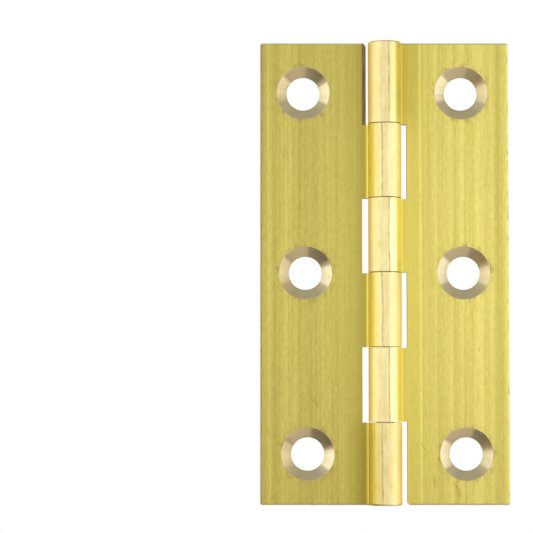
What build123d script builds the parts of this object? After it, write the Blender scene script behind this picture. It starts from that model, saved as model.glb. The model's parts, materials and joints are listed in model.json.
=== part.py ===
from build123d import *
import os

# Butt hinge in drawn brass: two like leaves whose knuckles interleave on one pin.
# Millimetres. Opened flat, the pin runs along Z, the countersunk faces look towards -Y
# and the screwed-down backs towards +Y. The origin is on the pin, half way up.

# Leaf
leaf_length = 64.0
leaf_reach = 17.2            # from the pin's axis to the leaf's outer edge
leaf_thickness = 1.4
corner_radius = 0.35         # of the two outer corners, seen from the front
edge_radius = 0.25           # all round the leaf's outer edges and the barrel's ends

# Barrel
barrel_diameter = 4.6
root_radius = 0.3            # where the barrel rises from the leaf's front face
knuckles_per_leaf = 3
end_knuckle_length = 11.4    # the one knuckle of each leaf that ends the barrel
knuckle_gap = 0.1            # between neighbouring knuckles, along the pin
notch_clearance = 0.8        # from a knuckle to the cut edge of the other leaf
notch_corner_break = 0.3     # of each leaf's corner beside its open end notch
notch_wall_slant = 0.6       # of the left leaf's end notch, whose wall is cut out of square

# Pin
pin_diameter = 2.6
pin_clearance = 0.03         # all round the pin in its bore
pin_recess = 0.25            # of each pin end below the barrel's end
pin_chamfer = 0.25

# Screw holes
holes_per_leaf = 3
hole_diameter = 4.6
countersink_diameter = 7.3
countersink_angle = 100
hole_pitch = 25.0            # along the leaf
hole_row_inset = 6.25        # from the outer edge to the middle hole
hole_row_lean = 0.3          # from hole to hole, nearer the barrel towards the leaf's end knuckle

# Places worked out from these sizes
barrel_radius = barrel_diameter / 2
back = barrel_radius
front = back - leaf_thickness
top = leaf_length / 2
inner_knuckle_length = (leaf_length - 2 * end_knuckle_length) / (2 * knuckles_per_leaf - 2)
notch_edge = barrel_radius + notch_clearance
notch_length = inner_knuckle_length + knuckle_gap
end_notch_length = end_knuckle_length + knuckle_gap / 2
bore_diameter = pin_diameter + 2 * pin_clearance
pin_length = leaf_length - 2 * pin_recess

os.makedirs("parts", exist_ok=True)

# What both leaves share: a drawn bar, flat with a round bead, cut to the leaf's outline
with BuildPart() as leaf:
    with BuildSketch(Plane.XY.offset(-top)) as drawn_section:
        with BuildLine():
            Polyline(
                (0, back),
                (leaf_reach, back),
                (leaf_reach, front),
                (barrel_radius, front),
                (barrel_radius, 0),
            )
            CenterArc((0, 0), barrel_radius, 0, -270)
        make_face()
        root = drawn_section.vertices().sort_by_distance((barrel_radius, front))[0]
        fillet(root, root_radius)
    extrude(amount=leaf_length)

    # Outline from the front: rounded outer corners, and a notch for each knuckle of the other leaf
    with BuildSketch(Plane.XZ) as leaf_outline:
        with Locations((-barrel_radius, 0)):
            Rectangle(barrel_radius + leaf_reach, leaf_length, align=(Align.MIN, Align.CENTER))
        fillet(leaf_outline.vertices().group_by(Axis.X)[-1], corner_radius)
        with Locations((0, -top)):
            Rectangle(2 * notch_edge, 2 * end_notch_length, mode=Mode.SUBTRACT)
        for number in range(knuckles_per_leaf - 1):
            notch_middle = -top + end_knuckle_length + (2 * number + 1.5) * inner_knuckle_length
            with Locations((0, notch_middle)):
                Rectangle(2 * notch_edge, notch_length, mode=Mode.SUBTRACT)
    extrude(amount=barrel_diameter, both=True, mode=Mode.INTERSECT)

    # Broken edges: the rim of both ends, carried round the corners along both long edges
    ends = leaf.faces().filter_by(Axis.Z).group_by(Axis.Z)
    long_edge_and_corners = leaf.faces().sort_by(Axis.X)[-3:]
    rim_faces = ShapeList([*ends[0], *ends[-1], *long_edge_and_corners])
    fillet(rim_faces.edges().filter_by(Axis.Y, reverse=True), edge_radius)

    Hole(bore_diameter / 2)
    with Locations(Plane.XZ.offset(-front)):
        for number in range(holes_per_leaf):
            step = number - (holes_per_leaf - 1) / 2
            with Locations((leaf_reach - hole_row_inset - step * hole_row_lean, step * hole_pitch)):
                CounterSinkHole(
                    hole_diameter / 2,
                    countersink_diameter / 2,
                    counter_sink_angle=countersink_angle,
                )

# Right leaf: as it is, with its corner broken at the open end notch
with BuildPart() as right_leaf:
    add(leaf.part)
    with BuildSketch(Plane.XZ):
        with Locations((notch_edge, -top)):
            RegularPolygon(notch_corner_break, 4)
    extrude(amount=barrel_diameter, both=True, mode=Mode.SUBTRACT)

# Left leaf: turned end for end, so that its knuckles fill the right leaf's notches
with BuildPart() as left_leaf:
    add(leaf.part, rotation=(0, 180, 0))

    # The slanted cut left a wedge in its end notch, nothing at the front and thickest at the back
    with BuildSketch(Plane.XY.offset(top - end_notch_length)):
        with BuildLine():
            Polyline(
                (-notch_edge, front),
                (-notch_edge, back),
                (notch_wall_slant - notch_edge, back),
                close=True,
            )
        make_face()
    extrude(amount=end_notch_length)
    with BuildSketch(Plane.XZ):
        with Locations((notch_wall_slant - notch_edge, top)):
            RegularPolygon(notch_corner_break, 4)
    extrude(amount=barrel_diameter, both=True, mode=Mode.SUBTRACT)

# Hinge pin: a plain rod, set just inside the barrel's two ends
with BuildPart() as hinge_pin:
    Cylinder(pin_diameter / 2, pin_length)
    chamfer(hinge_pin.edges().filter_by(GeomType.CIRCLE), pin_chamfer)

right_leaf.part.label = "right_leaf"
left_leaf.part.label = "left_leaf"
hinge_pin.part.label = "hinge_pin"
export_step(right_leaf.part, "parts/right_leaf.step")
export_step(left_leaf.part, "parts/left_leaf.step")
export_step(hinge_pin.part, "parts/hinge_pin.step")
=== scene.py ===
# %% [markdown]
# # A drawn brass butt hinge
# Two brass leaves turn on one pin. Their solids come packed from the CAD model, in metres, and
# already have the right shape, so this lesson leaves the meshes alone. It is about finish: the
# marks that drawing, milling, turning and sawing leave on brass, and the light in which the eye
# tells them apart.

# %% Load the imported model
import json
import math
from functools import partial
import bmesh
import bpy
from mathutils import Matrix, Vector


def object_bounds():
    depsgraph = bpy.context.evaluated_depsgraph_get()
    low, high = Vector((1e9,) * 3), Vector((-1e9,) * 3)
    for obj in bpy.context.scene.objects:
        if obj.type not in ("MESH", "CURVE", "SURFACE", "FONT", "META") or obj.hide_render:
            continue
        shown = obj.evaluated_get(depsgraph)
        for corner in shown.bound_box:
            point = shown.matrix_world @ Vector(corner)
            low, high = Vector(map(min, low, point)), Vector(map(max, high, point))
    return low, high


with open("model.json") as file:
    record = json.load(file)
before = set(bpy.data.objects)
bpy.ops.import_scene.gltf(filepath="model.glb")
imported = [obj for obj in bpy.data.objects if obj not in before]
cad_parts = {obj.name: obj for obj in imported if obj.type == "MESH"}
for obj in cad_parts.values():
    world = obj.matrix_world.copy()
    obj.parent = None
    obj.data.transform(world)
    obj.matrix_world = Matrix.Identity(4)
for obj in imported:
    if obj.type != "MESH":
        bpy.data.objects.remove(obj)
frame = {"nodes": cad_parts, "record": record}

cad_low, cad_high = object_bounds()
MM = 1000
sides = [round(MM * side, 2) for side in cad_high - cad_low]
print("nodes:", sorted(frame["nodes"]), "size in mm:", sides)

# %% [markdown]
# ## Camera
# The hinge is seen almost square on, through a long lens from about a third of a metre, so its
# edges stay parallel. The camera stands a little left of the pin and a little low, and tips up.
# The framing could also come from lens shift, but a camera that really stands there keeps every
# other view centred too.

# %% Camera
# In metres, degrees and millimetres
CAMERA_PLACE = (-0.01634, -0.3315, -0.01875)
CAMERA_TIP = 3.38
LENS = 162.6

camera = bpy.data.objects.new("camera", bpy.data.cameras.new("camera"))
bpy.context.scene.collection.objects.link(camera)
camera.location = CAMERA_PLACE
camera.rotation_euler = (math.radians(90 + CAMERA_TIP), 0, 0)
camera.data.lens = LENS
bpy.context.scene.camera = camera
bpy.context.scene.view_settings.view_transform = "Standard"
print("camera: lens", LENS, "mm, at", [round(MM * place) for place in CAMERA_PLACE], "mm")

# %% [markdown]
# ## Colours and nodes
# Colours are written as the eye reads them on a screen, in sRGB hex. Blender's sockets want linear
# light, so one function turns the one into the other. A second function adds any node: its
# settings, a ramp's stops, and for each input a plain value, the socket that feeds it, or a whole
# node, which then gives its first working output. A third one starts an empty material and hands
# back the second, ready to add nodes to it.

# %% Three helpers
def linear(code):
    parts = [int(code[at:at + 2], 16) / 255 for at in (1, 3, 5)]
    light = [part / 12.92 if part <= 0.04045 else ((part + 0.055) / 1.055) ** 2.4 for part in parts]
    return [*light, 1.0]


def add_node(tree, kind, inputs=(), stops=(), **settings):
    node = tree.nodes.new("ShaderNode" + kind)
    for name, value in settings.items():
        setattr(node, name, value)
    for number, (position, colour) in enumerate(stops):
        elements = node.color_ramp.elements
        stop = elements[number] if number < 2 else elements.new(position)
        stop.position = position
        stop.color = colour
    for socket, value in (inputs.items() if isinstance(inputs, dict) else enumerate(inputs)):
        if isinstance(value, bpy.types.Node):
            value = next(output for output in value.outputs if output.enabled)
        if isinstance(value, bpy.types.NodeSocket):
            tree.links.new(value, node.inputs[socket])
        else:
            node.inputs[socket].default_value = value
    return node


def new_material(name):
    material = bpy.data.materials.new(name)
    material.use_nodes = True
    material.node_tree.nodes.clear()
    return material, partial(add_node, material.node_tree)


print("mid brass #C9BC61 in linear light:", [round(part, 3) for part in linear("#C9BC61")])

# %% [markdown]
# ## Studio
# Clean metal shows what stands round it more than any colour of its own, so the room is built for
# the metal. A bright band runs round the room at the height of the hinge and fades to a greyer
# ceiling and ground, which shades the leaves a little towards their ends. At the sides the band is
# weaker, because softboxes stand there, and the wall behind the hinge is white. A ready-made sky
# or a photographed room would be quicker, but neither could be set to suit one hinge.

# %% The room
# Sine of elevation, and the level of light there
ROOM_LEVELS = (
    (-1.00, 0.30),
    (-0.35, 0.36),
    (-0.13, 0.58),
    (-0.04, 1.00),
    (0.05, 1.38),
    (0.10, 1.20),
    (0.17, 0.80),
    (0.28, 0.80),
    (0.50, 0.88),
    (0.72, 0.70),
    (0.85, 0.50),
    (1.00, 0.53),
)
SIDE_GAIN = 0.55
WHITE = (1, 1, 1, 1)

world = bpy.data.worlds.new("studio")
bpy.context.scene.world = world
world.use_nodes = True
world.node_tree.nodes.clear()
room = partial(add_node, world.node_tree)
across, into, up = room("SeparateXYZ", (room("TexCoord").outputs["Generated"],)).outputs
level_stops = [((height + 1) / 2, (level, level, level, 1)) for height, level in ROOM_LEVELS]
levels = room("ValToRGB", (room("MapRange", (up, -1.0, 1.0)),), stops=level_stops)
sideways = room("Math", (across,), operation="ABSOLUTE")
gain = room("MapRange", (sideways, 0.60, 0.95, 1.0, SIDE_GAIN), interpolation_type="SMOOTHSTEP")
lit = room("VectorMath", (levels, gain), operation="MULTIPLY")
behind = room("MapRange", (into, 0.35, 0.9), interpolation_type="SMOOTHSTEP")
walls = room("Mix", {0: behind, 6: lit, 7: WHITE}, data_type="RGBA")
room("OutputWorld", (room("Background", (walls, 1.0)),))
print("room levels, by sine of elevation:", ROOM_LEVELS)

# %% [markdown]
# Two softboxes in front put a gleam on each side of the barrel. Two more stand almost level with
# the leaves: the steep walls of the countersinks mirror those, as bright sectors to the left and
# right of each hole. The last one hangs behind and lights the backs. An area light's energy is its
# radiance times pi times its area, so the softboxes are given by radiance, which is what the metal
# mirrors. Each hangs in the direction in which the hinge sees it, and faces the hinge.

# %% Softboxes
def hang(thing, azimuth, elevation, distance):
    thing.rotation_euler = (math.radians(90 - elevation), 0, math.radians(azimuth))
    thing.location = thing.rotation_euler.to_matrix() @ Vector((0, 0, distance))
    bpy.context.scene.collection.objects.link(thing)


def softbox(name, azimuth, elevation, distance, width, height, radiance):
    light = bpy.data.lights.new(name, "AREA")
    light.shape = "RECTANGLE"
    light.size = width
    light.size_y = height
    light.energy = radiance * math.pi * width * height
    hang(bpy.data.objects.new(name, light), azimuth, elevation, distance)


# Azimuth and elevation in degrees; distance, width and height in metres; radiance
softbox("softbox_front_right", 50, -8, 0.55, 0.45, 0.50, 0.50)
softbox("softbox_front_left", -48, 12, 0.55, 0.45, 0.50, 0.25)
softbox("softbox_side_right", 75, -2, 0.50, 0.24, 0.56, 1.45)
softbox("softbox_side_left", -75, 9, 0.50, 0.24, 0.44, 1.50)
softbox("softbox_behind", 180, 50, 1.00, 0.80, 0.80, 0.60)

# %% [markdown]
# ## Floor
# The hinge is made to be screwed to a door, so it hangs in its own frame and the floor lies well
# below it. A plain pale sheet is enough: it takes the hinge's shadow, and gives the metal a warm
# ground to reflect. It is a grid of one face, and so is the flag that follows.

# %% Floor
FLOOR_DROP = 0.400
FLOOR_SIDE = 12.0


def flat_sheet(name, width, height):
    grid = bmesh.new()
    outline = Matrix.Diagonal((width, height, 1.0, 1.0))
    bmesh.ops.create_grid(grid, x_segments=1, y_segments=1, size=0.5, matrix=outline)
    sheet = bpy.data.objects.new(name, bpy.data.meshes.new(name))
    grid.to_mesh(sheet.data)
    grid.free()
    return sheet


def matt_material(name, colour, rough):
    material, node = new_material(name)
    shader = node("BsdfPrincipled", {"Base Color": linear(colour), "Roughness": rough})
    node("OutputMaterial", (shader,))
    return material


floor = flat_sheet("floor", FLOOR_SIDE, FLOOR_SIDE)
floor.location.z = -FLOOR_DROP
bpy.context.scene.collection.objects.link(floor)

# Uncoated warm white paper: pale and matt, so that no gloss of its own shows in the metal
floor.data.materials.append(matt_material("uncoated_paper", "#F2E6DC", 0.9))
print("floor lies", round(MM * FLOOR_DROP), "mm below the hinge's middle")

# %% [markdown]
# A photographer sets a dark flag where metal should show a shade. This one hangs low on the left,
# and the upper right walls of the countersinks mirror it: the dark sector makes them look hollow.
# A darker room would do the same, but would dull the leaves as well. Like the lamps, the flag
# stays out of the picture itself.

# %% Flag
# In degrees and metres
FLAG_AZIMUTH = -76
FLAG_ELEVATION = -52
FLAG_DISTANCE = 0.25
FLAG_WIDTH = 0.14
FLAG_HEIGHT = 0.26

flag = flat_sheet("flag", FLAG_WIDTH, FLAG_HEIGHT)
hang(flag, FLAG_AZIMUTH, FLAG_ELEVATION, FLAG_DISTANCE)
flag.visible_camera = False

# Black felt: it swallows light, so the metal shows it as a plain dark patch
flag.data.materials.append(matt_material("black_felt", "#0C0A08", 1.0))
print("flag hangs", round(MM * FLAG_DISTANCE), "mm from the hinge's middle")

# %% [markdown]
# ## Where each finish lies
# One solid leaf carries several finishes, each left by another tool. The die drew the flat and the
# near side of the knuckles; a milling cutter took their far side; a countersink bit turned the
# screw holes; a saw cut the ends. Painting faces would need the mesh changed, so position tells
# the finishes apart instead: the distance from the pin, from the nearest screw hole, and the way
# the surface faces. The sizes come from the record's screw holes and from the box of the model, or
# are the leaf's own, in millimetres.

# %% Sizes of a leaf
mounts = {mount["name"]: mount for mount in frame["record"]["mounts"]}
upper_screws = mounts["right_leaf_upper_screws"]["pos_m"]
lower_screws = mounts["right_leaf_lower_screws"]["pos_m"]
HOLE_ROW = MM * (upper_screws[0] + lower_screws[0]) / 2
HOLE_PITCH = MM * (upper_screws[2] - lower_screws[2])
HOLE_LEAN = MM * (lower_screws[0] - upper_screws[0])
SINK_RADIUS = 3.65
SINK_SLOPE = math.tan(math.radians(50))
LEAF_LENGTH = MM * (cad_high.z - cad_low.z)
LEAF_REACH = MM * cad_high.x
BARREL_RADIUS = MM * cad_high.y
LEAF_THICKNESS = 1.4
LEAF_FRONT = BARREL_RADIUS - LEAF_THICKNESS
NOTCH_CLEARANCE = 0.8
NOTCH_EDGE = BARREL_RADIUS + NOTCH_CLEARANCE
END_KNUCKLE = 11.4
INNER_KNUCKLES = 4
KNUCKLE = (LEAF_LENGTH - 2 * END_KNUCKLE) / INNER_KNUCKLES
print("screw holes", round(HOLE_PITCH, 2), "mm apart,", round(HOLE_ROW, 2), "mm from the pin's axis")
print("inner knuckles are", round(KNUCKLE, 2), "mm long")

# %% [markdown]
# Both leaves use the same node tree. The left leaf is the right one turned half round, about the
# line that runs from front to back through the hinge's middle, so a Mapping node turns its
# coordinates the same way and each leaf sees itself as the right one. The surface normal is read in
# the object's own space too, so the finish stays put when a leaf swings. Each place is a mask, 1
# where it holds and 0 elsewhere, with a short slope between so that no border is jagged.

# %% Places on a leaf
def leaf_places(node, half_turns):
    given = node("TexCoord")
    mapping = {
        "Vector": given.outputs["Object"],
        "Rotation": (0, math.pi * half_turns, 0),
        "Scale": (MM, MM, MM),
    }
    own = node("Mapping", mapping)
    x, y, z = node("SeparateXYZ", (own,)).outputs
    from_pin = node("VectorMath", (node("CombineXYZ", (x, y)),), operation="LENGTH")
    facing = node("SeparateXYZ", (given.outputs["Normal"],)).outputs
    sideways = node("Math", (facing["X"],), operation="ABSOLUTE")
    endways = node("Math", (facing["Z"],), operation="ABSOLUTE")
    place = {"own": own, "x": x, "y": y, "z": z, "from_pin": from_pin}
    place["sideways"] = node("MapRange", (sideways, 0.55, 0.85))
    place["ends"] = node("MapRange", (endways, 0.85, 0.95))
    place["rubbed"] = node("MapRange", (endways, 0.10, 0.40))
    place["front"] = node("MapRange", (y, LEAF_FRONT + 0.2, LEAF_FRONT + 0.5, 1.0, 0.0))
    return place


# %% [markdown]
# A knuckle is what lies within the barrel's radius of the pin, and its root is the small fillet
# round it, in front of the leaf. The seam is the line where the milling cutter stopped, a little
# past the crest on the leaf's own side. It wavers, as the cutter did, so a slow noise moves it.

# %% Places on the knuckles
# Millimetres from the crest to the seam, and from one end of its waver to the other
SEAM = 0.50
SEAM_WAVER = 0.36


def knuckle_places(node, place):
    past_barrel = node("Math", (place["from_pin"], BARREL_RADIUS), operation="SUBTRACT")
    knuckle = node("MapRange", (past_barrel, 0.02, 0.06, 1.0, 0.0))
    near_barrel = node("MapRange", (past_barrel, 0.35, 0.50, 1.0, 0.0))
    in_front = node("MapRange", (place["y"], LEAF_FRONT + 0.05, LEAF_FRONT + 0.15, 1.0, 0.0))
    root = node("Math", (near_barrel, in_front), operation="MULTIPLY")
    waver = node("TexNoise", {"Vector": place["own"], "Scale": 0.22, "Detail": 3.0})
    seam = node("Math", (waver, SEAM_WAVER, SEAM - SEAM_WAVER / 2), operation="MULTIPLY_ADD")
    past_seam = node("Math", (place["x"], seam), operation="SUBTRACT")
    free_side = node("MapRange", (past_seam, -0.03, 0.03, 1.0, 0.0))
    place["past_barrel"] = past_barrel
    place["past_seam"] = past_seam
    place["knuckle"] = knuckle
    place["root"] = root
    place["corner"] = node("Math", (root, knuckle), operation="SUBTRACT", use_clamp=True)
    place["milled"] = node("Math", (knuckle, free_side), operation="MULTIPLY")


# %% [markdown]
# The wall of a notch is what faces sideways near the pin and isn't barrel. The screw holes stand in
# a row that leans a little, so the coordinates are sheared straight and wrapped at the hole pitch:
# each point then knows only its nearest hole. It lies on the countersink's cone if its distance
# from the hole shrinks with its depth at the slope of the bit.

# %% Places in the notches and the screw holes
def notch_places(node, place):
    barrel = node("Math", (place["knuckle"], place["root"]), operation="MAXIMUM")
    off_barrel = node("Math", (1.0, barrel), operation="SUBTRACT")
    near_pin = node("MapRange", (place["x"], NOTCH_EDGE + 0.2, NOTCH_EDGE + 0.3, 1.0, 0.0))
    wall = node("Math", (place["sideways"], near_pin), operation="MULTIPLY")
    place["notch"] = node("Math", (wall, off_barrel), operation="MULTIPLY")


def hole_places(node, place):
    row = node("Math", (place["z"], HOLE_LEAN / HOLE_PITCH, -HOLE_ROW), operation="MULTIPLY_ADD")
    across = node("Math", (place["x"], row), operation="ADD")
    along = node("Math", (place["z"], HOLE_PITCH / 2, -HOLE_PITCH / 2), operation="WRAP")
    place["spoke"] = node("CombineXYZ", {"X": across, "Z": along})
    place["from_hole"] = node("VectorMath", (place["spoke"],), operation="LENGTH")
    depth = node("Math", (place["y"], LEAF_FRONT), operation="SUBTRACT")
    cone = node("Math", (depth, SINK_SLOPE, place["from_hole"]), operation="MULTIPLY_ADD")
    place["turned"] = node("MapRange", (cone, SINK_RADIUS + 0.02, SINK_RADIUS + 0.05, 1.0, 0.0))


# %% [markdown]
# ## Streaks
# Most tools here moved along the leaf, so most finishes are some kind of streak. A noise that is
# squeezed across the leaf and stretched along it draws them all: its width and length are given in
# millimetres, and the fourth coordinate is a seed, which keeps the patterns apart. Scanned
# pictures of brass would look as real, but only from one distance. Each finish below gives three
# things: its colour, its roughness, and the height of its marks in millimetres.

# %% Streaks
def streaks(node, place, across_mm, along_mm, seed, detail, roughness):
    scale = (1 / across_mm, 1 / across_mm, 1 / along_mm)
    stretched = node("VectorMath", (place["own"], scale), operation="MULTIPLY")
    inputs = {"Vector": stretched, "W": seed, "Scale": 1.0, "Detail": detail, "Roughness": roughness}
    return node("TexNoise", inputs, noise_dimensions="4D")


# %% [markdown]
# ## Drawn brass
# The bar was pulled through a steel die, and every nick in the die left a line along its whole
# length. Noise gives the fine lines, but the few deep ones and the broad bands are listed, as
# a ramp across the leaf, because the eye knows a hinge by them.

# %% Nicks of the die, and painted shade
# Millimetres from the pin's axis, and tone. Besides the die's lines, the tones paint shade: on the
# left leaf beside the barrel, and on both leaves a little inside the outer edge.
RIGHT_NICKS_AND_SHADE = (
    (2.6, 0.40),
    (4.7, 0.40),
    (4.92, 1.00),
    (5.06, 0.75),
    (5.3, 0.02),
    (5.55, 0.42),
    (7.9, 0.46),
    (8.05, 0.32),
    (9.0, 0.42),
    (9.25, 0.58),
    (9.7, 0.38),
    (10.5, 0.60),
    (10.9, 0.64),
    (11.05, 0.36),
    (11.3, 0.56),
    (12.4, 0.46),
    (13.3, 0.74),
    (14.9, 0.58),
    (15.3, 0.36),
    (16.3, 0.25),
    (16.7, 0.55),
    (17.2, 0.75),
)
LEFT_NICKS_AND_SHADE = (
    (2.4, 0.42),
    (2.8, 0.02),
    (3.1, 0.02),
    (3.5, 0.25),
    (4.2, 0.45),
    (4.7, 0.56),
    (7.2, 0.60),
    (9.4, 0.38),
    (11.7, 0.40),
    (13.5, 0.62),
    (15.3, 0.44),
    (16.1, 0.58),
    (16.5, 0.30),
    (16.9, 0.30),
    (17.2, 0.70),
)
print("nicks:", len(RIGHT_NICKS_AND_SHADE), "stops on the right leaf,", len(LEFT_NICKS_AND_SHADE), "on the left")

# %% [markdown]
# Broken streaks and a fine grain unsettle the lines. Some streaks are warmer, where the skin is
# tarnished. Beside the barrel the yellow is painted deeper and darker, a painted shade of the
# barrel. Real draw lines are some hundredths of a millimetre wide; these are drawn a few times
# coarser, or they would vanish in the picture.

# %% Drawn brass
# Brings the sum of the patterns back between the dark and the light brass
TONE_OFFSET = -1.82
# Where the painted shade beside the barrel has faded out, in millimetres from the pin's axis
BARREL_SHADE_END = 7.0


# The skin of the die: satin, lined along the leaf, so that a gleam spreads across the lines
def drawn_brass(node, place, seed, dark, light, warm, barrel_shade_colour, nicks_and_shade):
    lines = streaks(node, place, 1.2, 500.0, seed, detail=4.0, roughness=0.85)
    broken = streaks(node, place, 0.5, 30.0, seed + 6, detail=3.0, roughness=0.6)
    grain = streaks(node, place, 0.25, 0.8, seed + 9, detail=2.0, roughness=0.6)
    warmer = streaks(node, place, 0.7, 30.0, seed + 3, detail=3.0, roughness=0.8)
    across = node("Math", (place["x"], LEAF_REACH), operation="DIVIDE")
    # The ramp lays the die's bands and a painted shade beside the barrel and near the outer edge
    band_stops = [(mm / LEAF_REACH, (tone, tone, tone, 1)) for mm, tone in nicks_and_shade]
    bands = node("ValToRGB", (across,), stops=band_stops)
    tone = TONE_OFFSET
    for pattern, weight in ((lines, 1.75), (broken, 0.75), (grain, 0.90), (bands, 1.1)):
        tone = node("Math", (pattern, weight, tone), operation="MULTIPLY_ADD")
    skin = node("Mix", {0: tone, 6: linear(dark), 7: linear(light)}, data_type="RGBA")
    tarnish = node("MapRange", (warmer, 0.45, 0.70, 0.0, 0.45))
    tanned = node("Mix", {0: tarnish, 6: skin, 7: linear(warm)}, data_type="RGBA")
    # Painted shade: beside the barrel the skin turns a darker, deeper yellow
    near_barrel = node("MapRange", (place["x"], BARREL_RADIUS, BARREL_SHADE_END, 0.6, 0.0))
    barrel_shade_mask = node("Math", (near_barrel, place["front"]), operation="MULTIPLY")
    colour = node("Mix", {0: barrel_shade_mask, 6: tanned, 7: linear(barrel_shade_colour)}, data_type="RGBA")
    rough = node("Math", (broken, 0.10, 0.28), operation="MULTIPLY_ADD")
    shallow = node("Math", (broken, 0.003), operation="MULTIPLY")
    height = node("Math", (lines, 0.006, shallow), operation="MULTIPLY_ADD")
    return colour, rough, height


# %% [markdown]
# The saw left sharp rims at both ends of the leaf, and a file and years of handling rubbed them
# round. They catch light that the flat misses, and the paler brass there is partly a painted
# highlight, which keeps a thin clean line along the ends.

# %% Rubbed brass
# Bare metal that hands have rubbed: a broad soft gleam on a narrow rim, the palest of the leaf,
# partly a painted highlight
def rubbed_brass_and_highlight(node, place, seed):
    marks = streaks(node, place, 0.8, 0.4, seed + 36, detail=2.0, roughness=0.6)
    # Partly painted highlight: the rims are painted the palest brass
    colour = node("Mix", {0: marks, 6: linear("#DCCB86"), 7: linear("#FFF6C0")}, data_type="RGBA")
    rough = 0.60
    height = node("Math", (marks, 0.003), operation="MULTIPLY")
    return colour, rough, height


# %% [markdown]
# ## Burnished bead and root
# The bead that became the knuckles was drawn with the bar. Where it stands proud it is rubbed pale
# and bright, with a painted highlight; further round comes a darker band of painted shade, and
# towards the leaf it keeps the deep yellow of the drawn skin. A ramp of a few colours follows it
# round, shifted by lines and by a cloudy mottle, because handling polishes brass unevenly.

# %% Burnished bead
# Millimetres across the bead, from near the seam to near the leaf, and colour, with a painted
# highlight near the seam and a painted shade further round
RIGHT_BEAD_AND_PAINTED_LIGHT = (
    (0.35, "#F0EAB5"),
    (0.9, "#F0E7A5"),
    (1.35, "#DCCC72"),
    (1.6, "#DCCC66"),
    (2.1, "#F8E680"),
)
LEFT_BEAD_AND_PAINTED_LIGHT = (
    (0.3, "#F4EAAA"),
    (0.95, "#DCCD80"),
    (1.35, "#CCBA58"),
    (1.75, "#E6CC5C"),
    (2.1, "#F6DE6C"),
)
BEAD_SHIFT = 0.30


def mottle(node, place, seed):
    return streaks(node, place, 0.9, 2.2, seed + 39, detail=3.0, roughness=0.65)


# Smooth and bright: pale with a painted highlight where it was rubbed, a painted shade further
# round, and deep yellow where it was not rubbed
def bead_brass_and_painted_light(node, place, seed, bead_and_painted_light):
    lines = streaks(node, place, 0.5, 60.0, seed + 18, detail=2.0, roughness=0.6)
    lined = node("Math", (lines, 0.4, place["past_seam"]), operation="MULTIPLY_ADD")
    clouded = node("Math", (mottle(node, place, seed), 0.7, lined), operation="MULTIPLY_ADD")
    shifted = node("Math", (clouded, BEAD_SHIFT), operation="SUBTRACT")
    across = node("Math", (shifted, BARREL_RADIUS), operation="DIVIDE")
    # The ramp paints a highlight near the seam and a shade further round the bead
    bead_and_light_stops = [(mm / BARREL_RADIUS, linear(code)) for mm, code in bead_and_painted_light]
    colour = node("ValToRGB", (across,), stops=bead_and_light_stops)
    rough = 0.34
    height = node("Math", (lines, 0.003), operation="MULTIPLY")
    return colour, rough, height


# %% [markdown]
# The die polished the corner where the bead meets the leaf. It shows as a soft golden line, a shade
# deeper where it runs out on the leaf.

# %% Burnished root
# Smooth metal in a hollow corner: a thin line of gold
def root_brass(node, place, seed):
    lines = streaks(node, place, 0.3, 60.0, seed + 24, detail=2.0, roughness=0.6)
    uneven = node("Math", (lines, 0.15, place["past_barrel"]), operation="MULTIPLY_ADD")
    out = node("MapRange", (uneven, 0.10, 0.35))
    colour = node("Mix", {0: out, 6: linear("#E8D264"), 7: linear("#DAC85E")}, data_type="RGBA")
    rough = 0.36
    height = node("Math", (lines, 0.002), operation="MULTIPLY")
    return colour, rough, height


# %% [markdown]
# ## Milled brass
# A cutter rounded the free side of each knuckle. It cut through the yellow skin, so the metal there
# is pale and a little satin, with streaks along the cut. Down the flank it is painted yellower and
# darker, a painted shade on the barrel's side. The mottle of the bead runs on over it, because both
# sides were handled.

# %% Milled brass
# Cut metal under a thin tarnish: cream, soft in its gleam, streaked along the barrel, with a painted
# shade down its flank
def milled_brass(node, place, seed):
    lines = streaks(node, place, 0.45, 25.0, seed + 12, detail=3.0, roughness=0.75)
    mixed = node("Math", (lines, mottle(node, place, seed)), operation="ADD")
    tone = node("MapRange", (mixed, 0.70, 1.30))
    pale = node("Mix", {0: tone, 6: linear("#E2CE88"), 7: linear("#FBEDB6")}, data_type="RGBA")
    # Painted shade: the flank is painted yellower and darker
    flank_shade = node("MapRange", (place["x"], -0.95 * BARREL_RADIUS, -0.40 * BARREL_RADIUS))
    colour = node("Mix", {0: flank_shade, 6: linear("#EAD282"), 7: pale}, data_type="RGBA")
    rough = 0.40
    height = node("Math", (lines, 0.005), operation="MULTIPLY")
    return colour, rough, height


# %% [markdown]
# ## Turned brass
# The countersink bit leaves rings. They are a noise of one dimension, the distance from the hole.
# Real rings are some hundredths of a millimetre apart; these are coarser, so that they show.

# %% Turned brass
SINK_RING_MM = 0.14


# Bare metal with fine rings: light gathers into bright sectors across them
def turned_brass(node, place, seed):
    ring = node("Math", (place["from_hole"], 1 / SINK_RING_MM), operation="MULTIPLY")
    rings = node("TexNoise", {"W": ring, "Scale": 1.0, "Detail": 1.0}, noise_dimensions="1D")
    colour = node("Mix", {0: rings, 6: linear("#C8BA92"), 7: linear("#DDD2AE")}, data_type="RGBA")
    rough = 0.28
    height = node("Math", (rings, 0.002), operation="MULTIPLY")
    return colour, rough, height


# %% [markdown]
# ## Sawn brass
# A saw cut the leaf to length, and its ends were left as cut, bright with cross marks. The same saw
# cleared the notches; their walls are painted dark brown in broader blotches, a painted shade in
# the recess. One function draws both.

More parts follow.
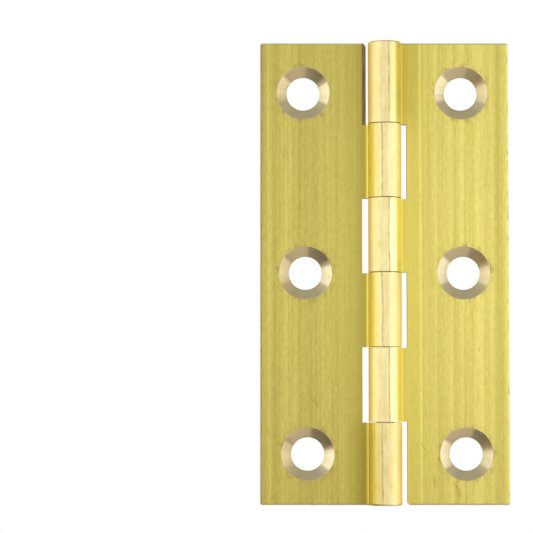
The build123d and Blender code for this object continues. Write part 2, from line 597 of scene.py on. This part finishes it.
# %% Sawn brass
# Rough cross-cut metal: it scatters light, bright at the ends, and painted dark brown in the notches
# as painted shade
def sawn_brass(node, place, seed, mark_mm, dark, light):
    marks = streaks(node, place, 0.4 * mark_mm, mark_mm, seed + 15, detail=3.0, roughness=0.6)
    tone = node("MapRange", (marks, 0.30, 0.70))
    colour = node("Mix", {0: tone, 6: linear(dark), 7: linear(light)}, data_type="RGBA")
    rough = 0.45
    height = node("Math", (marks, 0.004), operation="MULTIPLY")
    return colour, rough, height


# %% [markdown]
# ## Dirt and wear
# Oil and dust stay where a cloth doesn't reach: in the seam along each knuckle, in the joints
# between knuckles, and round the rims of the screw holes. Each is a thin mask round a known line,
# broken up by one blotchy noise, so that no line is drawn with a ruler.

# %% Dirt along the knuckles
def seam_dirt(node, place, blotches):
    from_seam = node("Math", (place["past_seam"],), operation="ABSOLUTE")
    line = node("MapRange", (from_seam, 0.03, 0.18, 0.55, 0.0))
    in_front = node("MapRange", (place["y"], -0.5, 0.0, 1.0, 0.0))
    on_bead = node("Math", (in_front, place["knuckle"]), operation="MULTIPLY")
    uneven = node("MapRange", (blotches, 0.36, 0.62, 0.30, 1.0))
    broken = node("Math", (line, uneven), operation="MULTIPLY")
    return node("Math", (broken, on_bead), operation="MULTIPLY")


def joint_dirt(node, place, blotches):
    nearest = node("Math", (place["z"], KNUCKLE / 2, -KNUCKLE / 2), operation="WRAP")
    from_joint = node("Math", (nearest,), operation="ABSOLUTE")
    line = node("MapRange", (from_joint, 0.05, 0.14, 0.5, 0.0))
    uneven = node("MapRange", (blotches, 0.42, 0.62))
    broken = node("Math", (line, uneven), operation="MULTIPLY")
    from_middle = node("Math", (place["z"],), operation="ABSOLUTE")
    inner = node("MapRange", (from_middle, 2.4 * KNUCKLE, 2.5 * KNUCKLE, 1.0, 0.0))
    on_bead = node("Math", (inner, place["knuckle"]), operation="MULTIPLY")
    return node("Math", (broken, on_bead), operation="MULTIPLY")


# %% [markdown]
# The flat has smudges round the holes and a few hairline scratches, and small flecks lie all over
# the leaf. A scratch is a level line of a slow noise: it runs long and nearly straight, and a
# second noise keeps only pieces of it. Separate thin meshes would be sharper, but a scratch adds no
# shape.

# %% Dirt on the flat
SMUDGE_REACH = 0.9


def rim_dirt(node, place, blotches):
    rim = (place["from_hole"], SINK_RADIUS + 0.1, SINK_RADIUS + SMUDGE_REACH, 1.0, 0.0)
    ring = node("MapRange", rim)
    smudge = node("MapRange", (blotches, 0.50, 0.68, 0.0, 0.55))
    off_cone = node("Math", (1.0, place["turned"]), operation="SUBTRACT")
    near_rim = node("Math", (ring, off_cone), operation="MULTIPLY")
    smudged = node("Math", (near_rim, smudge), operation="MULTIPLY")
    return node("Math", (smudged, place["front"]), operation="MULTIPLY")


def fleck_dirt(node, place, seed):
    flecks = streaks(node, place, 0.3, 1.0, seed + 33, detail=1.0, roughness=0.5)
    return node("MapRange", (flecks, 0.70, 0.80, 0.0, 0.40))


def scratches(node, place, seed):
    hills = streaks(node, place, 14.0, 22.0, seed + 42, detail=1.0, roughness=0.4)
    above = node("Math", (hills, 0.5), operation="SUBTRACT")
    from_line = node("Math", (above,), operation="ABSOLUTE")
    line = node("MapRange", (from_line, 0.0, 0.005, 0.35, 0.0))
    pieces = streaks(node, place, 4.0, 4.0, seed + 45, detail=1.0, roughness=0.5)
    kept = node("MapRange", (pieces, 0.54, 0.64))
    off_barrel = node("MapRange", (place["x"], 4.0, 5.0))
    on_flat = node("Math", (off_barrel, place["turned"]), operation="SUBTRACT", use_clamp=True)
    short = node("Math", (line, kept), operation="MULTIPLY")
    return node("Math", (short, on_flat), operation="MULTIPLY")


# %% [markdown]
# The long outer edge is where a hinge is handled. Its front rim is darkened to a golden brown, in
# patches: partly wear, and partly a painted shade that dims the rim's gleam. At each point the
# strongest of all these masks counts, because they share one brown.

# %% Worn edge with painted shade, and all dirt together
def edge_wear_and_shade(node, place, blotches, least, most):
    # Partly wear, partly painted shade: the outer rim is darkened so that it gleams less
    rim = node("MapRange", (place["x"], LEAF_REACH - 0.30, LEAF_REACH - 0.12))
    patches = node("MapRange", (blotches, 0.50, 0.70, least, most))
    on_rim = node("Math", (rim, place["front"]), operation="MULTIPLY")
    return node("Math", (on_rim, patches), operation="MULTIPLY")


def dirt_and_edge_shade(node, place, seed, wear_and_shade):
    blotches = streaks(node, place, 0.8, 1.6, seed + 30, detail=3.0, roughness=0.7)
    deepest = edge_wear_and_shade(node, place, blotches, *wear_and_shade)
    masks = [make(node, place, blotches) for make in (seam_dirt, joint_dirt, rim_dirt)]
    masks += [make(node, place, seed) for make in (fleck_dirt, scratches)]
    for mask in masks:
        deepest = node("Math", (deepest, mask), operation="MAXIMUM")
    return deepest


# %% [markdown]
# ## Brass of one leaf
# The finishes are laid over each other through their own masks, a later one over an earlier one. One
# material with masks keeps each leaf in one piece, where a material for each finish would need its
# faces sorted. Over them comes a last painted shade: the end knuckle of each leaf and the skin
# beside it are painted darker.

# %% Layers of finish
# The colour that multiplies one end of each leaf darker, as painted shade
END_SHADE = "#DCD2B0"


def lay_finishes(node, place, seed, skin, bead_and_painted_light):
    finishes = (
        ("rubbed", rubbed_brass_and_highlight),
        ("root", root_brass),
        ("knuckle", partial(bead_brass_and_painted_light, bead_and_painted_light=bead_and_painted_light)),
        ("milled", milled_brass),
        ("turned", turned_brass),
        # Painted shade: the notch walls are painted dark brown
        ("notch", partial(sawn_brass, mark_mm=4.0, dark="#74521E", light="#BE9E66")),
        ("ends", partial(sawn_brass, mark_mm=0.5, dark="#C4A962", light="#E4CF8C")),
    )
    colour, rough, height = drawn_brass(node, place, seed, *skin)
    for where, finish in finishes:
        new_colour, new_rough, new_height = finish(node, place, seed)
        colour = node("Mix", {0: place[where], 6: colour, 7: new_colour}, data_type="RGBA")
        rough = node("Mix", {0: place[where], 2: rough, 3: new_rough})
        height = node("Mix", {0: place[where], 2: height, 3: new_height})
    return colour, rough, height


# Painted shade: the end knuckle and the skin beside it are darkened
def paint_end_shade(node, place, colour):
    at_end = node("MapRange", (place["z"], 1.8 * KNUCKLE, 2.2 * KNUCKLE, 0.0, 0.48))
    by_barrel = node("MapRange", (place["x"], 3.5, 5.5, 1.0, 0.0))
    unmilled = node("Math", (place["milled"], -0.7, 1.0), operation="MULTIPLY_ADD")
    skin = node("Math", (by_barrel, unmilled), operation="MULTIPLY")
    front_skin = node("Math", (skin, place["front"]), operation="MULTIPLY")
    end_shade_mask = node("Math", (at_end, front_skin), operation="MULTIPLY")
    shade = {0: end_shade_mask, 6: colour, 7: linear(END_SHADE)}
    return node("Mix", shade, data_type="RGBA", blend_type="MULTIPLY")


# %% [markdown]
# ## Grain
# Almost every finish is streaked, so all share one anisotropic shader: the gleam spreads across the
# streaks. The tangent says which way that is: level on the leaf, where the lines stand upright, and
# along a spoke in the countersinks and on the ends, where a level tangent would have no direction.
# The die's corner was worn hollow. A narrow corner mirrors only its own two walls, so the surface
# is shaded there as if it leaned a little more to the front.

# %% Grain
ANISOTROPY = 0.8
CORNER_LEAN = 0.5
TO_WORLD = {"convert_from": "OBJECT", "convert_to": "WORLD"}


def eased_corner(node, place):
    facing = node("NewGeometry").outputs["Normal"]
    front = node("VectorTransform", ((0, -1, 0),), vector_type="NORMAL", **TO_WORLD)
    lean = node("Math", (place["corner"], CORNER_LEAN), operation="MULTIPLY")
    leant = node("Mix", {0: lean, 4: facing, 5: front}, data_type="VECTOR")
    return node("VectorMath", (leant,), operation="NORMALIZE")


def across_streaks(node, place, facing):
    level = node("VectorMath", (facing, (0, 0, 1)), operation="CROSS_PRODUCT")
    spoke = node("VectorTransform", (place["spoke"],), vector_type="VECTOR", **TO_WORLD)
    spoked = node("Math", (place["turned"], place["ends"]), operation="MAXIMUM")
    return node("Mix", {0: spoked, 4: level, 5: spoke}, data_type="VECTOR")


# %% [markdown]
# ## Both leaves
# Now one shader takes all the layers. Dirt isn't metal, so the shader is less metallic where dirt
# and the painted edge shade lie. The leaves differ a little: the left one has its own nicks and a
# more worn, more darkened outer edge. On the real hinge it also stands a few degrees out of flat,
# which shades it. The model lies exactly flat, so its brass is painted a shade darker instead, as
# painted shade.

# %% Both leaves
# Brown of the dirt, also used for the painted shade along the outer edge
DIRT_AND_SHADE_BROWN = "#90581C"


def leaf_brass(name, half_turns, seed, skin, bead_and_painted_light, wear_and_shade):
    material, node = new_material(name)
    place = leaf_places(node, half_turns)
    knuckle_places(node, place)
    notch_places(node, place)
    hole_places(node, place)
    clean, rough, height = lay_finishes(node, place, seed, skin, bead_and_painted_light)
    end_shaded = paint_end_shade(node, place, clean)
    dirt_and_shade = dirt_and_edge_shade(node, place, seed, wear_and_shade)
    eased = eased_corner(node, place)
    marks = {"Height": height, "Distance": 1 / MM, "Strength": 1.0, "Normal": eased}
    inputs = {
        "Base Color": node("Mix", {0: dirt_and_shade, 6: end_shaded, 7: linear(DIRT_AND_SHADE_BROWN)}, data_type="RGBA"),
        "Metallic": node("Math", (1.0, dirt_and_shade), operation="SUBTRACT"),
        "Roughness": rough,
        "Normal": node("Bump", marks),
        "Anisotropic": ANISOTROPY,
        "Tangent": across_streaks(node, place, eased),
    }
    node("OutputMaterial", (node("BsdfPrincipled", inputs),))
    return material


# Dark and light of the skin, its warm tarnish, its painted shade by the barrel, and its nicks with
# painted shade
RIGHT_SKIN = ("#C4B85C", "#EFE27F", "#D4BC64", "#D8C856", RIGHT_NICKS_AND_SHADE)
# Painted shade: the left skin is a shade darker than the right, for the tilt that the flat model
# lacks
LEFT_SKIN_PAINTED_DARKER = ("#ADA14E", "#D9CC6E", "#BDA558", "#B4A64A", LEFT_NICKS_AND_SHADE)
# Least and most wear and painted shade along the outer edge
RIGHT_WEAR_AND_SHADE = (0.0, 0.6)
LEFT_WEAR_AND_SHADE = (0.5, 0.9)
RIGHT_SEED = 1.0
LEFT_SEED = 21.0

right = leaf_brass("drawn_brass_right", 0, RIGHT_SEED, RIGHT_SKIN, RIGHT_BEAD_AND_PAINTED_LIGHT, RIGHT_WEAR_AND_SHADE)
left = leaf_brass("drawn_brass_left", 1, LEFT_SEED, LEFT_SKIN_PAINTED_DARKER, LEFT_BEAD_AND_PAINTED_LIGHT, LEFT_WEAR_AND_SHADE)
frame["nodes"]["right_leaf"].material_slots[0].material = right
frame["nodes"]["left_leaf"].material_slots[0].material = left
print("leaf materials:", right.name, left.name, "of", len(right.node_tree.nodes), "nodes each")

# %% [markdown]
# ## Pin
# The pin is a length of drawn brass wire. Only its faced ends show, a little inside the barrel, with
# the rings that the facing tool left, drawn coarser than they are so that they show. Its
# coordinates start at the middle of the pin, so the distance from its axis draws the rings, and the
# coordinates themselves serve as the tangent: they point outwards on the ends.

# %% Pin
PIN_RING_MM = 0.12
PIN_RING_HEIGHT_MM = 0.004
PIN_SEED = 41.0


# Faced wire: darker than the leaves, with a small bright whirl on each end
def pin_brass(name):
    material, node = new_material(name)
    given = node("TexCoord")
    own = node("Mapping", {"Vector": given.outputs["Object"], "Scale": (MM, MM, MM)})
    x, y = node("SeparateXYZ", (own,)).outputs[:2]
    from_axis = node("VectorMath", (node("CombineXYZ", (x, y)),), operation="LENGTH")
    ring = node("Math", (from_axis, 1 / PIN_RING_MM), operation="MULTIPLY")
    rings = node("TexNoise", {"W": ring, "Scale": 1.0, "Detail": 2.0}, noise_dimensions="1D")
    wire = streaks(node, {"own": own}, 0.2, 20.0, PIN_SEED, detail=3.0, roughness=0.7)
    facing = node("SeparateXYZ", (given.outputs["Normal"],)).outputs
    endways = node("Math", (facing["Z"],), operation="ABSOLUTE")
    ends = node("MapRange", (endways, 0.85, 0.95))
    marks = node("Mix", {0: ends, 2: wire, 3: rings})
    tones = {0: marks, 6: linear("#A88E4C"), 7: linear("#D8C27C")}
    bump = {"Height": marks, "Distance": PIN_RING_HEIGHT_MM / MM, "Strength": 1.0}
    outwards = node("VectorTransform", (given.outputs["Object"],), vector_type="VECTOR", **TO_WORLD)
    inputs = {
        "Base Color": node("Mix", tones, data_type="RGBA"),
        "Metallic": 1.0,
        "Roughness": node("Math", (marks, 0.15, 0.28), operation="MULTIPLY_ADD"),
        "Normal": node("Bump", bump),
        "Anisotropic": ANISOTROPY,
        "Tangent": outwards,
    }
    node("OutputMaterial", (node("BsdfPrincipled", inputs),))
    return material


wire_brass = pin_brass("faced_brass_wire")
frame["nodes"]["hinge_pin"].material_slots[0].material = wire_brass
print("pin material:", wire_brass.name, "of", len(wire_brass.node_tree.nodes), "nodes")
